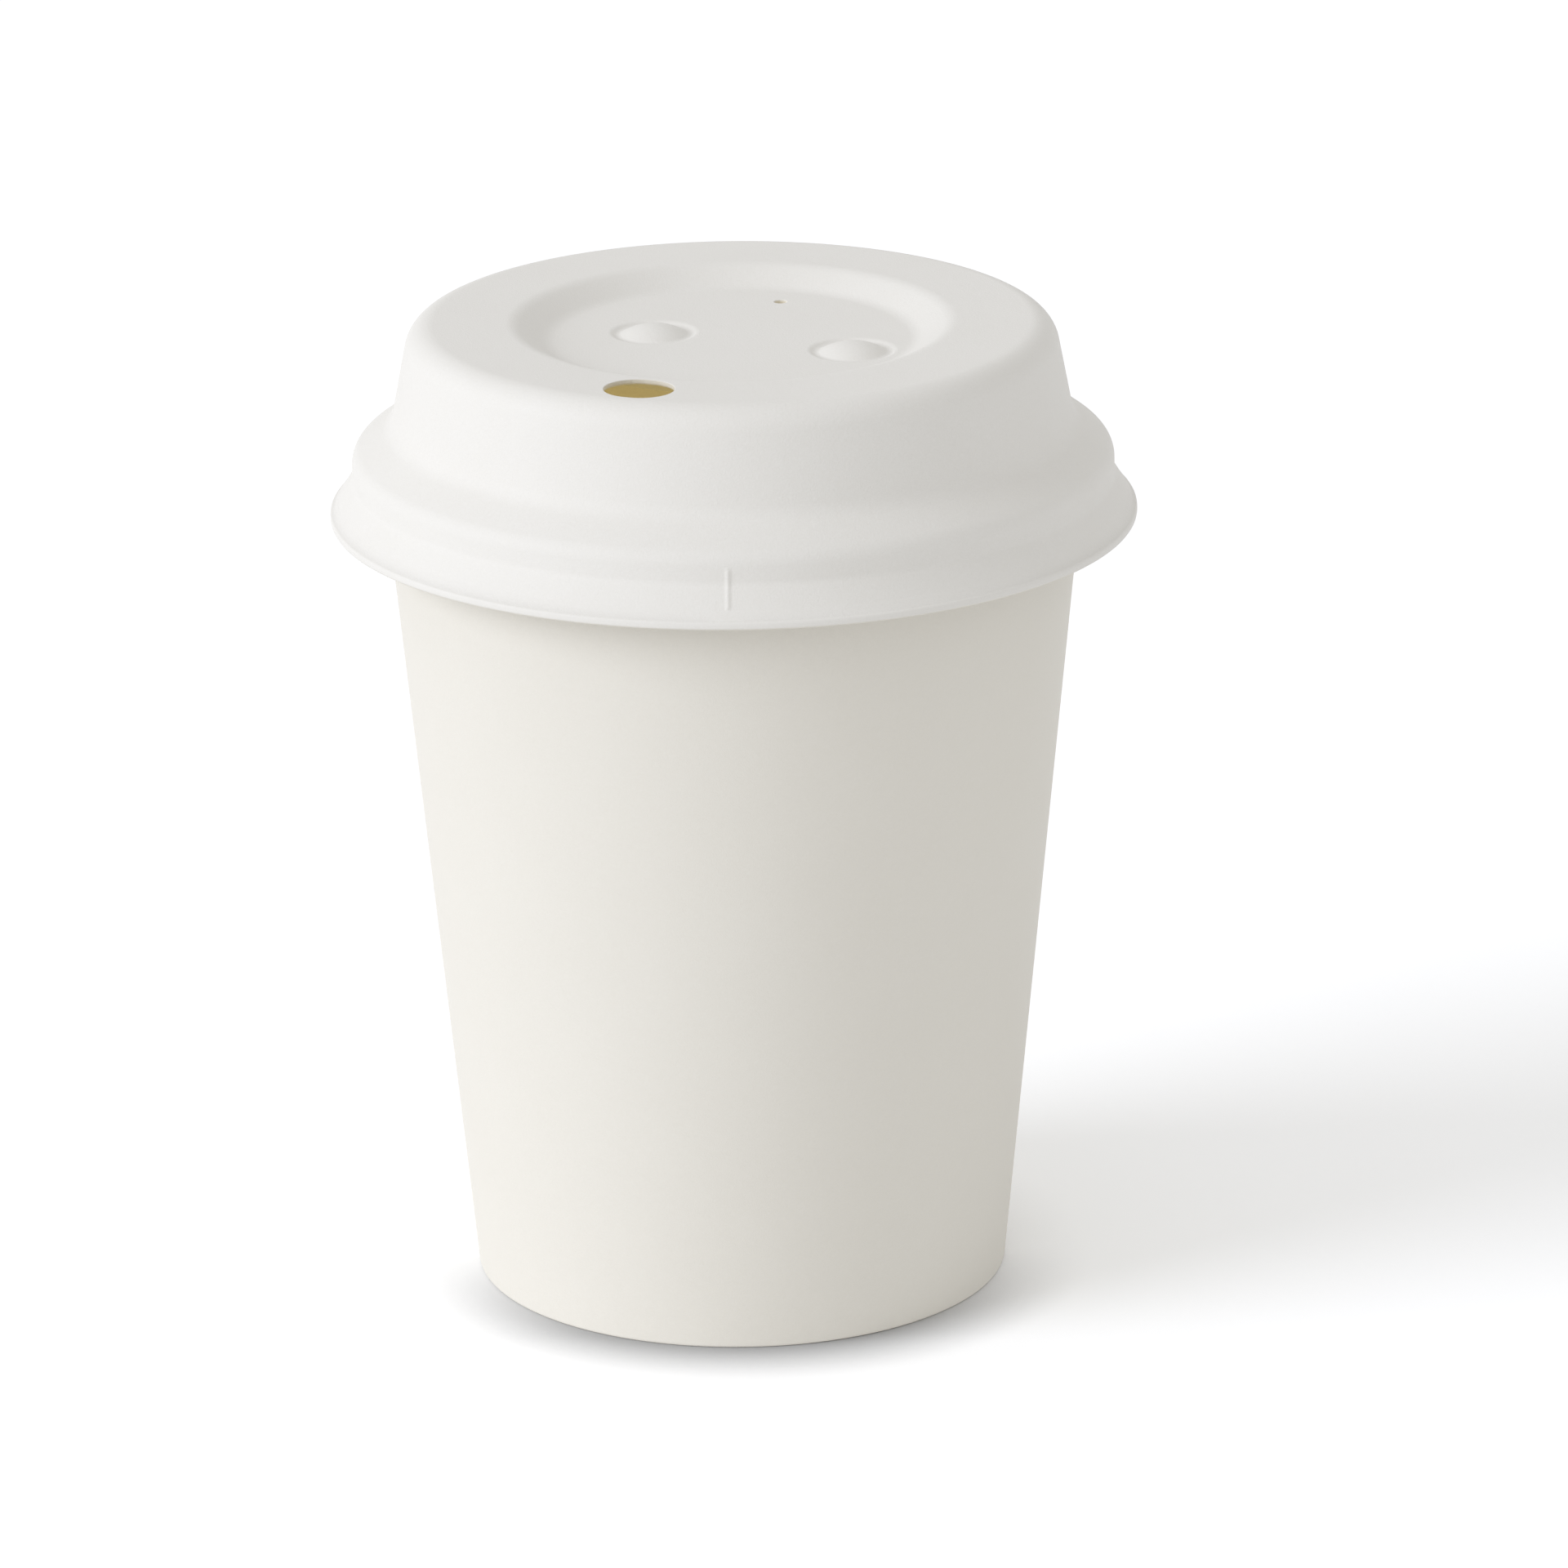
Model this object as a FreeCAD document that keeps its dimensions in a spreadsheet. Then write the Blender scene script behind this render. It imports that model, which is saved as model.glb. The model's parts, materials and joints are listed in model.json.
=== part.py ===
"""Take-away paper coffee cup with a moulded-fibre sip lid, in millimetres.

Three pieces: the wall blank (cone, rolled rim, folded hem and side lap), the
bottom disc with its turned-down skirt, and the lid. All three are bent sheets,
so each section is a list of bends that the sheet's two faces follow.
Frame: +Z up, origin on the axis in the foot's resting plane, sip hole towards
-Y, side lap at +Y.
"""
import FreeCAD, Part
import Sketcher
import math
import os

document = FreeCAD.newDocument("paper_coffee_cup")
sheet = document.addObject("Spreadsheet::Sheet", "sizes")

# Driving sizes in millimetres and degrees: alias, value, meaning
SIZES = [
    ("rim_diameter", 80.0, "outer diameter of the rolled rim"),
    ("cup_height", 92.7, "foot to the top of the rolled rim"),
    ("base_diameter", 57.9, "outer diameter at the foot"),
    ("board", 0.35, "wall board thickness"),
    ("bottom_board", 0.35, "bottom board thickness"),
    ("curl_diameter", 2.5, "rolled rim, across the roll"),
    ("curl_turn", 308.0, "how far the rim is rolled, degrees"),
    ("foot_crease", 0.05, "inside radius of the hem's creases"),
    ("hem_height", 6.2, "height of the hem folded up inside the foot"),
    ("hem_fit", 0.05, "space on each side of the bottom's skirt"),
    ("bottom_lift", 0.9, "underside of the bottom above the hem"),
    ("bottom_bend", 0.9, "outside radius of the bottom's edge"),
    ("lap_angle", 10.5, "width of the side lap, degrees"),
    ("lid_wall", 0.65, "lid thickness"),
    ("lid_clearance", 0.3, "space between the rolled rim and the lid"),
    ("lid_rise", 13.95, "lid top above the rim"),
    ("crown_setback", 6.75, "flat top's edge inside the centre of the roll"),
    ("crown_bend", 3.1, "radius of the crown's corner"),
    ("crown_draft", 10.9, "lean of the crown's side, degrees"),
    ("foot_bend", 3.0, "hollow radius where the crown meets the shoulder"),
    ("shoulder_slope", 36.0, "fall of the shoulder, degrees"),
    ("skirt_drop", 1.45, "upright skirt below the centre of the roll"),
    ("neck_bend", 1.2, "hollow radius between skirt and flare"),
    ("flare_tilt", 32.0, "flare from upright, degrees"),
    ("lip_bend", 2.0, "hollow radius between flare and lip"),
    ("lip_tilt", 45.0, "lip from upright, degrees"),
    ("lip_width", 0.9, "lip, measured outwards"),
    ("flange_overhang", 2.45, "lip's edge outside the skirt"),
    ("top_land", 7.8, "flat ring between recess and crown corner"),
    ("recess_depth", 2.0, "fall of the round recess"),
    ("recess_slope", 29.0, "steepest fall of the recess wall, degrees"),
    ("recess_bend", 3.2, "radii at the top and foot of the recess wall"),
    ("sip_width", 7.5, "sip hole along the rim"),
    ("sip_depth", 6.9, "sip hole across the rim"),
    ("vent_diameter", 1.4, "vent hole"),
    ("vent_inset", 3.6, "vent inside the recess floor's edge"),
    ("dome_radius", 6.72, "spherical radius of a button's dome"),
    ("dome_angle", 31.0, "half angle of a button's dome, degrees"),
    ("moat_bend", 0.9, "hollow radius of the moat round a button"),
    ("moat_crease", 0.5, "inside radius of the moat's outer lip"),
    ("moat_angle", 30.0, "steepest rise of the moat's outer side, degrees"),
    ("button_gap", 0.15, "right button inside the recess floor's edge"),
    ("button_spacing", 22.6, "between the two buttons"),
    ("button_shift", 0.4, "buttons nearer the sip hole than the axis"),
    ("nib_angle", 19.3, "nib on the flare, round from the sip hole, degrees"),
    ("nib_width", 1.0, "nib, degrees round the axis"),
    ("nib_height", 0.2, "nib proud of the flare"),
]

# Sizes worked out from them: alias, formula, meaning
DERIVED = [
    ("base_radius", "base_diameter / 2", "foot, outer radius"),
    ("curl_radius", "curl_diameter / 2", "outside of the roll"),
    ("curl_inside", "curl_radius - board", "inside of the roll"),
    ("curl_r", "rim_diameter / 2 - curl_radius", "centre of the roll"),
    ("curl_z", "cup_height - curl_radius", "centre of the roll"),
    ("reach", "curl_r - base_radius", "foot to roll, outwards"),
    ("span", "sqrt(reach^2 + curl_z^2 - curl_inside^2)", "length of the cone's side"),
    ("wall_slope", "(reach * span - curl_z * curl_inside) / (reach * curl_inside + curl_z * span)",
     "outward lean of the wall for each millimetre of height"),
    ("wall_cos", "1 / sqrt(1 + wall_slope^2)", "cosine of that lean"),
    ("wall_lean", "atan(wall_slope) / 1deg", "lean in degrees"),
    ("hem_bend", "board + foot_crease", "outside radius of the hem's creases"),
    ("hem_stack", "2 * board + bottom_board + 2 * hem_fit", "wall, skirt and hem together"),
    ("fold_out_r", "base_radius + wall_slope * hem_bend - hem_bend / wall_cos", "outer crease"),
    ("fold_in_r", "base_radius + wall_slope * hem_bend - (hem_stack - hem_bend) / wall_cos",
     "inner crease"),
    ("hem_top_r", "base_radius + wall_slope * hem_height - hem_stack / wall_cos", "hem's top edge"),
    ("bottom_z", "hem_height + bottom_lift + bottom_board", "upper face of the bottom"),
    ("skirt_in", "board + hem_fit", "skirt's outer face inside the wall's outer face"),
    ("bottom_bend_z", "bottom_z - bottom_bend", "centre of the bottom's edge bend"),
    ("bottom_bend_r", "base_radius + wall_slope * bottom_bend_z - (skirt_in + bottom_bend) / wall_cos",
     "centre of the bottom's edge bend"),
    ("skirt_end_z", "board + hem_fit", "lower edge of the bottom's skirt"),
    ("skirt_end_r", "base_radius + wall_slope * skirt_end_z - skirt_in / wall_cos", "the same, outside"),
    ("lap_low_z", "hem_bend", "lower end of the side lap"),
    ("lap_high_z", "curl_z - curl_radius - board", "upper end of the side lap"),
    ("lap_low_r", "base_radius + wall_slope * lap_low_z", "wall's outer face there"),
    ("lap_high_r", "base_radius + wall_slope * lap_high_z", "wall's outer face there"),
    ("top_z", "cup_height + lid_rise", "flat top of the lid"),
    ("crown_r", "curl_r - crown_setback", "centre of the crown's corner"),
    ("crown_z", "top_z - crown_bend", "centre of the crown's corner"),
    ("shoulder_bend", "curl_radius + lid_clearance + lid_wall", "outside of the shoulder"),
    ("shoulder_lift", "90 - shoulder_slope", "direction that the shoulder faces, degrees"),
    ("shoulder_r", "curl_r + shoulder_bend", "skirt's outer face"),
    ("side_line", "crown_r * cos(crown_draft) + crown_z * sin(crown_draft) + crown_bend + foot_bend",
     "crown's side, moved out by the hollow radius"),
    ("slope_line", "curl_r * cos(shoulder_lift) + curl_z * sin(shoulder_lift) + shoulder_bend + foot_bend",
     "shoulder's slope, moved out by the hollow radius"),
    ("foot_sine", "sin(shoulder_lift - crown_draft)", "of the turn between the two"),
    ("foot_r", "(side_line * sin(shoulder_lift) - slope_line * sin(crown_draft)) / foot_sine",
     "centre of the hollow"),
    ("foot_z", "(slope_line * cos(crown_draft) - side_line * cos(shoulder_lift)) / foot_sine",
     "centre of the hollow"),
    ("neck_r", "shoulder_r + neck_bend", "centre of the neck's hollow"),
    ("neck_z", "curl_z - skirt_drop", "centre of the neck's hollow"),
    ("flange_r", "shoulder_r + flange_overhang", "lip's cut edge"),
    ("lip_corner_r", "flange_r - lip_width", "where flare and lip would meet"),
    ("flare_start_r", "neck_r - neck_bend * cos(flare_tilt)", "upper end of the flare"),
    ("flare_start_z", "neck_z - neck_bend * sin(flare_tilt)", "upper end of the flare"),
    ("lip_corner_z", "flare_start_z - (lip_corner_r - flare_start_r) / tan(flare_tilt)",
     "where flare and lip would meet"),
    ("lip_reach", "lip_bend / cos((lip_tilt - flare_tilt) / 2)", "that corner to the hollow's centre"),
    ("lip_r", "lip_corner_r + lip_reach * cos((lip_tilt + flare_tilt) / 2)", "centre of the lip's hollow"),
    ("lip_z", "lip_corner_z + lip_reach * sin((lip_tilt + flare_tilt) / 2)", "centre of the lip's hollow"),
    ("edge_high_z", "lip_corner_z - lip_width / tan(lip_tilt)", "lip's edge, upper"),
    ("edge_low_z", "edge_high_z - lid_wall / sin(lip_tilt)", "lip's edge, lower"),
    ("recess_r", "crown_r - top_land", "centre of the recess's upper bend"),
    ("recess_z", "top_z - recess_bend", "centre of the recess's upper bend"),
    ("recess_run", "(recess_depth - 2 * recess_bend * (1 - cos(recess_slope))) / sin(recess_slope)",
     "straight part of the recess wall"),
    ("floor_r", "recess_r - 2 * recess_bend * sin(recess_slope) - recess_run * cos(recess_slope)",
     "centre of the recess's lower bend"),
    ("floor_z", "top_z - recess_depth", "recess floor"),
    ("floor_bend_z", "floor_z + recess_bend", "centre of the recess's lower bend"),
    ("sip_r", "recess_r + top_land / 2", "sip hole's centre"),
    ("sip_half", "(sip_width - sip_depth) / 2", "centre of the hole's rounded ends"),
    ("sip_round", "sip_depth / 2", "radius of the hole's rounded ends"),
    ("vent_radius", "vent_diameter / 2", "vent hole"),
    ("vent_y", "floor_r - vent_inset", "vent hole's place, away from the sip hole"),
    ("moat_lip", "lid_wall + moat_crease", "radius of the moat's outer lip"),
    ("moat_r", "(dome_radius + moat_bend) * sin(dome_angle)", "moat's centre, from the button's axis"),
    ("button_r", "moat_r + (moat_bend + moat_lip) * sin(moat_angle)", "button with its moat"),
    ("moat_lip_z", "floor_z - moat_lip", "centre of the moat's outer lip"),
    ("moat_z", "moat_lip_z + (moat_bend + moat_lip) * cos(moat_angle)", "moat's centre"),
    ("dome_z", "moat_z - (dome_radius + moat_bend) * cos(dome_angle)", "centre of the dome's sphere"),
    ("button_right", "floor_r - button_r - button_gap", "right button's place"),
    ("button_left", "button_spacing - button_right", "left button's distance from the axis"),
    ("nib_core", "lid_wall / 2", "nib's root inside the sheet"),
]


def fill_sheet():
    """Write both lists to the sheet and give every value its alias."""
    row = 1
    for alias, value, meaning in SIZES:
        sheet.set(f"A{row}", meaning)
        sheet.set(f"B{row}", str(value))
        sheet.setAlias(f"B{row}", alias)
        row += 1
    for alias, formula, meaning in DERIVED:
        sheet.set(f"A{row}", meaning)
        sheet.set(f"B{row}", "=" + formula)
        sheet.setAlias(f"B{row}", alias)
        row += 1
    document.recompute()


def of(alias):
    """The expression that reads one size from the sheet."""
    return "sizes." + alias


def number(expression):
    """What an expression is worth now."""
    value = sheet.evalExpression(expression)
    return float(getattr(value, "Value", value))


def bend(centre_r, centre_z, radius, start, end):
    """A bend of the sheet: its centre, its outer face's radius and the directions it faces.

    A positive radius bulges and a negative one is hollow.
    """
    return {"centre": (centre_r, centre_z), "radius": radius, "start": start, "end": end}


def edge(outer, inner):
    """A cut edge of the sheet: the corners on its outer and inner face."""
    return {"outer": outer, "inner": inner}


def on_bend(item, direction, depth):
    """The point of a bend's face, depth below the outer one, that faces a direction."""
    reach = f"(({item['radius']}) - ({depth}))"
    return (f"{item['centre'][0]} + {reach} * cos({direction})",
            f"{item['centre'][1]} + {reach} * sin({direction})")


def apart(one, other):
    """Whether two corners differ: bends that follow each other share theirs."""
    return math.hypot(number(one[0]) - number(other[0]), number(one[1]) - number(other[1])) > 1e-6


def sheet_outline(path, thickness):
    """Corners of a bent sheet's section, once round: x, y and the arc's centre and sense."""
    corners = []
    for item in path:
        if "outer" in item:
            corners.append((item["outer"], None, 0))
            continue
        turn = number(item["end"]) - number(item["start"])
        corners.append((on_bend(item, item["start"], "0"), None, 0))
        corners.append((on_bend(item, item["end"], "0"), item["centre"], turn))
    for item in reversed(path):
        if "outer" in item:
            corners.append((item["inner"], None, 0))
            continue
        turn = number(item["start"]) - number(item["end"])
        corners.append((on_bend(item, item["end"], thickness), None, 0))
        corners.append((on_bend(item, item["start"], thickness), item["centre"], turn))
    return [corner for before, corner in zip([corners[-1]] + corners, corners)
            if corner[1] or apart(before[0], corner[0])]


def pin(sketch, geometry, end, axis, expression):
    """Hold one coordinate of a point at an expression of the sheet's sizes."""
    value = number(expression)
    if abs(value) < 1e-9:
        line = {"DistanceX": -2, "DistanceY": -1}[axis]
        sketch.addConstraint(Sketcher.Constraint("PointOnObject", geometry, end, line))
        return
    if value > 0:
        rule = Sketcher.Constraint(axis, -1, 1, geometry, end, value)
        text = expression
    else:
        rule = Sketcher.Constraint(axis, geometry, end, -1, 1, -value)
        text = f"-({expression})"
    index = sketch.addConstraint(rule)
    sketch.setExpression(f"Constraints[{index}]", text)


def new_sketch(body, name, plane):
    """An empty sketch on one of the body's own origin planes."""
    sketch = body.newObject("Sketcher::SketchObject", name)
    for item in body.Origin.OriginFeatures:
        if item.Role == plane:
            sketch.AttachmentSupport = (item, [""])
    sketch.MapMode = "FlatFace"
    return sketch


def draw(sketch, corners):
    """Draw a closed outline of lines and arcs, each corner pinned to the sheet's sizes."""
    points = [FreeCAD.Vector(number(x), number(y), 0) for (x, y), centre, turn in corners]
    starts, ends = [], []
    for index, (place, centre, turn) in enumerate(corners):
        before, here = points[index - 1], points[index]
        if centre is None:
            shape = sketch.addGeometry(Part.LineSegment(before, here), False)
            starts.append((shape, 1))
            ends.append((shape, 2))
            continue
        middle = FreeCAD.Vector(number(centre[0]), number(centre[1]), 0)
        first, last = (before, here) if turn > 0 else (here, before)
        low = math.atan2(first.y - middle.y, first.x - middle.x)
        circle = Part.Circle(middle, FreeCAD.Vector(0, 0, 1), (here - middle).Length)
        arc = Part.ArcOfCircle(circle, low, low + math.radians(abs(turn)))
        shape = sketch.addGeometry(arc, False)
        starts.append((shape, 1 if turn > 0 else 2))
        ends.append((shape, 2 if turn > 0 else 1))
    for index, (place, centre, turn) in enumerate(corners):
        following = (index + 1) % len(corners)
        shape, end = ends[index]
        sketch.addConstraint(Sketcher.Constraint("Coincident", shape, end, *starts[following]))
        if centre is None:
            pin(sketch, shape, end, "DistanceX", place[0])
            pin(sketch, shape, end, "DistanceY", place[1])
            continue
        pin(sketch, shape, 3, "DistanceX", centre[0])
        pin(sketch, shape, 3, "DistanceY", centre[1])
        across = abs(points[index].x - number(centre[0]))
        along = abs(points[index].y - number(centre[1]))
        if along > across:
            pin(sketch, shape, end, "DistanceX", place[0])
        else:
            pin(sketch, shape, end, "DistanceY", place[1])


def revolve(body, sketch, name, turn="360", both_ways=False, line="V_Axis"):
    """Turn a sketch about an axis of its own and add it to the body."""
    feature = body.newObject("PartDesign::Revolution", name)
    feature.Profile = sketch
    feature.ReferenceAxis = (sketch, [line])
    feature.Midplane = both_ways
    feature.setExpression("Angle", turn)
    body.Tip = feature
    document.recompute()
    return feature


def cut_through(body, sketch, name):
    """Cut a sketch right through the body, both ways from the foot's plane."""
    before = body.Shape.Volume
    feature = body.newObject("PartDesign::Pocket", name)
    feature.Profile = sketch
    feature.Type = "ThroughAll"
    feature.Midplane = True
    body.Tip = feature
    document.recompute()
    if not body.Shape.Volume < before:
        raise RuntimeError(name + " cut nothing")
    return feature


def bent_body(name, path, thickness):
    """A body turned from the section of one bent sheet."""
    body = document.addObject("PartDesign::Body", name)
    body.Label = name
    sketch = new_sketch(body, name + "_section", "XZ_Plane")
    draw(sketch, sheet_outline(path, thickness))
    revolve(body, sketch, name + "_sheet")
    return body


def band(body, name, plane, low, high, thickness):
    """Section of a thin band that lies on a sloping face: its lower and upper corners."""
    sketch = new_sketch(body, name, plane)
    root = f"{thickness} / 2"
    corners = [(f"{low[0]} + {thickness}", low[1]), (f"{high[0]} + {thickness}", high[1]),
               (f"{high[0]} - {root}", high[1]), (f"{low[0]} - {root}", low[1])]
    draw(sketch, [(place, None, 0) for place in corners])
    return sketch


def cup_wall():
    """Wall blank: hem folded up inside the foot, cone, rolled rim, and the side lap at +Y."""
    lean = of("wall_lean")
    path = [
        bend(of("curl_r"), of("curl_z"), f"-{of('curl_inside')}", f"-{lean} - {of('curl_turn')}",
             f"-{lean}"),
        bend(of("fold_out_r"), of("hem_bend"), of("hem_bend"), f"-{lean}", "-90"),
        bend(of("fold_in_r"), of("hem_bend"), of("hem_bend"), "-90", f"-180 - {lean}"),
        edge((of("hem_top_r"), of("hem_height")),
             (f"{of('hem_top_r')} + {of('board')} / {of('wall_cos')}", of("hem_height"))),
    ]
    body = bent_body("cup_wall", path, of("board"))
    lap = band(body, "lap_section", "YZ_Plane", (of("lap_low_r"), of("lap_low_z")),
               (of("lap_high_r"), of("lap_high_z")), of("board"))
    revolve(body, lap, "side_lap", of("lap_angle"), True)
    return body


def cup_bottom():
    """Bottom disc: flat, with its edge turned down into the hem."""
    path = [
        edge(("0", of("bottom_z")), ("0", f"{of('bottom_z')} - {of('bottom_board')}")),
        bend(of("bottom_bend_r"), of("bottom_bend_z"), of("bottom_bend"), "90",
             f"-{of('wall_lean')}"),
        edge((of("skirt_end_r"), of("skirt_end_z")),
             (f"{of('skirt_end_r')} - {of('bottom_board')} / {of('wall_cos')}", of("skirt_end_z"))),
    ]
    return bent_body("cup_bottom", path, of("bottom_board"))


def button(body, name, place):
    """Replace a round of the recess floor by a domed button in its moat."""
    hole = new_sketch(body, name + "_hole", "XY_Plane")
    ring = hole.addGeometry(Part.Circle(FreeCAD.Vector(number(place), -number(of("button_shift")), 0),
                                        FreeCAD.Vector(0, 0, 1), number(of("button_r"))), False)
    pin(hole, ring, 3, "DistanceX", place)
    pin(hole, ring, 3, "DistanceY", f"-{of('button_shift')}")
    index = hole.addConstraint(Sketcher.Constraint("Radius", ring, number(of("button_r"))))
    hole.setExpression(f"Constraints[{index}]", of("button_r"))
    cut_through(body, hole, name + "_cut")
    section = new_sketch(body, name + "_section", "XZ_Plane")
    section.setExpression("AttachmentOffset.Base.x", place)
    section.setExpression("AttachmentOffset.Base.z", of("button_shift"))
    path = [
        bend("0", of("dome_z"), of("dome_radius"), "90", f"90 - {of('dome_angle')}"),
        bend(of("moat_r"), of("moat_z"), f"-{of('moat_bend')}", f"90 - {of('dome_angle')}",
             f"90 + {of('moat_angle')}"),
        bend(of("button_r"), of("moat_lip_z"), of("moat_lip"), f"90 + {of('moat_angle')}", "90"),
    ]
    draw(section, sheet_outline(path, of("lid_wall")))
    revolve(body, section, name)


def lid():
    """Moulded lid: recess, land, crown, shoulder over the rim, skirt, flare and lip."""
    lift = of("shoulder_lift")
    path = [
        edge(("0", of("floor_z")), ("0", f"{of('floor_z')} - {of('lid_wall')}")),
        bend(of("floor_r"), of("floor_bend_z"), f"-{of('recess_bend')}", "90",
             f"90 + {of('recess_slope')}"),
        bend(of("recess_r"), of("recess_z"), of("recess_bend"), f"90 + {of('recess_slope')}", "90"),
        bend(of("crown_r"), of("crown_z"), of("crown_bend"), "90", of("crown_draft")),
        bend(of("foot_r"), of("foot_z"), f"-{of('foot_bend')}", of("crown_draft"), lift),
        bend(of("curl_r"), of("curl_z"), of("shoulder_bend"), lift, "0"),
        bend(of("neck_r"), of("neck_z"), f"-{of('neck_bend')}", "0", of("flare_tilt")),
        bend(of("lip_r"), of("lip_z"), f"-{of('lip_bend')}", of("flare_tilt"), of("lip_tilt")),
        edge((of("flange_r"), of("edge_high_z")), (of("flange_r"), of("edge_low_z"))),
    ]
    body = bent_body("lid", path, of("lid_wall"))
    sip_hole(body)
    vent_hole(body)
    button(body, "right_button", of("button_right"))
    button(body, "left_button", f"-{of('button_left')}")
    nib(body)
    return body


def sip_hole(body):
    """Oval drinking hole through the land, at -Y."""
    sketch = new_sketch(body, "sip_outline", "XY_Plane")
    half, round_end = of("sip_half"), of("sip_round")
    near = f"-({of('sip_r')} + {round_end})"
    far = f"-({of('sip_r')} - {round_end})"
    middle = f"-{of('sip_r')}"
    corners = [
        ((half, near), None, 0),
        ((half, far), (half, middle), 180),
        ((f"-{half}", far), None, 0),
        ((f"-{half}", near), (f"-{half}", middle), 180),
    ]
    draw(sketch, corners)
    cut_through(body, sketch, "sip_hole")


def vent_hole(body):
    """Small round vent through the recess floor, at +Y."""
    sketch = new_sketch(body, "vent_outline", "XY_Plane")
    centre = FreeCAD.Vector(0, number(of("vent_y")), 0)
    circle = sketch.addGeometry(Part.Circle(centre, FreeCAD.Vector(0, 0, 1),
                                            number(of("vent_radius"))), False)
    pin(sketch, circle, 3, "DistanceX", "0")
    pin(sketch, circle, 3, "DistanceY", of("vent_y"))
    index = sketch.addConstraint(Sketcher.Constraint("Radius", circle, number(of("vent_radius"))))
    sketch.setExpression(f"Constraints[{index}]", of("vent_radius"))
    cut_through(body, sketch, "vent_hole")


def nib(body):
    """Narrow upright nib on the outside of the skirt and flare."""
    sketch = new_sketch(body, "nib_section", "XZ_Plane")
    turn = FreeCAD.Rotation(FreeCAD.Vector(0, -1, 0), number(f"90 - {of('nib_angle')}"))
    sketch.AttachmentOffset = FreeCAD.Placement(FreeCAD.Vector(0, 0, 0), turn)
    sketch.setExpression("AttachmentOffset.Rotation.Angle", f"90 - {of('nib_angle')}")
    proud, core = of("nib_height"), of("nib_core")
    corners = [
        (f"{of('shoulder_r')} + {proud}", of("curl_z")),
        (f"{of('shoulder_r')} - {core}", of("curl_z")),
        (f"{of('shoulder_r')} - {core}", of("neck_z")),
        (f"{of('lip_corner_r')} - {core}", of("lip_corner_z")),
        (f"{of('lip_corner_r')} + {proud}", of("lip_corner_z")),
        (f"{of('shoulder_r')} + {proud}", of("neck_z")),
    ]
    draw(sketch, [(place, None, 0) for place in corners])
    revolve(body, sketch, "flare_nib", of("nib_width"), True)


def check(bodies):
    """Stop if any object failed or any piece isn't one valid solid."""
    for item in document.Objects:
        if "Invalid" in item.State or "Error" in item.State:
            raise RuntimeError(item.Name + " is " + ", ".join(item.State))
    for body in bodies:
        shape = body.Shape
        if shape.isNull() or not shape.isValid() or len(shape.Solids) != 1:
            raise RuntimeError(body.Label + " isn't one valid solid")


fill_sheet()
bodies = [cup_wall(), cup_bottom(), lid()]
document.recompute()
check(bodies)
os.makedirs("parts", exist_ok=True)
for body in bodies:
    body.Shape.exportStep(f"parts/{body.Label}.step")
    box = body.Shape.BoundBox
    print(body.Label, "volume", round(body.Shape.Volume, 1), "z", round(box.ZMin, 3), round(box.ZMax, 3),
          "x", round(box.XMin, 2), round(box.XMax, 2), "y", round(box.YMin, 2), round(box.YMax, 2))
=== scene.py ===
"""Take-away paper cup with a moulded-fibre sip lid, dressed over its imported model.

Everything is in metres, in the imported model's frame: origin on the cup's axis in
the foot's resting plane, +Z up, sip hole towards -Y, side lap at +Y. The sizes
are entered in millimetres and turned to metres where a section is drawn.
"""
import json
import math

import bmesh
import bpy
from bpy.props import FloatProperty, FloatVectorProperty, IntProperty, PointerProperty
from mathutils import Matrix, Vector, kdtree

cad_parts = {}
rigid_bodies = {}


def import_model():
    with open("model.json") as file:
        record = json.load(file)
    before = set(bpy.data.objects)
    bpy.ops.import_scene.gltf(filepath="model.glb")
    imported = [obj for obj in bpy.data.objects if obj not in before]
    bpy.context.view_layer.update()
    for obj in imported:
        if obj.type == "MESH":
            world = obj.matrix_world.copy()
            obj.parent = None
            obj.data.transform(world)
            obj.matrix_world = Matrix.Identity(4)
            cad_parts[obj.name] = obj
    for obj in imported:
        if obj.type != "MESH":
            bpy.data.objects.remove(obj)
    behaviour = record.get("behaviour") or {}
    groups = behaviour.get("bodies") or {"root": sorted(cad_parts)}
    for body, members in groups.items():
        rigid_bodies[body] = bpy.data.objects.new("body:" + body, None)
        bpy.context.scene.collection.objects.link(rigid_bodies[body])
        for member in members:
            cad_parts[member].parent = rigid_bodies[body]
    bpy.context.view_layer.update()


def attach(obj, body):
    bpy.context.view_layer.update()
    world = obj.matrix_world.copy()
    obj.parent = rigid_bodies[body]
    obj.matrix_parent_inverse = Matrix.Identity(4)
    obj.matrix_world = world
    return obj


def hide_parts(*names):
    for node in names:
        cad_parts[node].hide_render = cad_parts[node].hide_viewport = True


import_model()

bl_info = {
    "name": "Paper cup and sip lid",
    "version": (1, 0, 0),
    "blender": (4, 5, 0),
    "location": "3D View > Sidebar > Paper Cup",
    "description": "Builds a single-wall paper cup with its moulded-fibre sip lid",
    "category": "Add Mesh",
}

MM = 0.001
# Points of a mesh closer than MERGE become one, and NOTHING is no distance at all, in metres
MERGE, NOTHING = 2e-7, 1e-7
# Points of a section closer than SAME are the same, ON_ARC is near enough to an arc, in millimetres
SAME, ON_ARC = 1e-5, 1e-4
TINY = 1e-6  # keeps a division off nought
# Faces in a quarter turn of a cut edge, across the side lap, round a button or the sip hole, and
# round the vent
EDGE_STEPS, LAP_COLUMNS, FORM_COLUMNS, VENT_COLUMNS = 4, 8, 96, 32
# Flat collars round the lid's forms and along its land, which the flat fields join, in millimetres
COLLAR, LAND_COLLAR = 0.04, 0.05
# Places in a piece's list of materials
OUTER, INNER, CUT = 0, 1, 2


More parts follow.
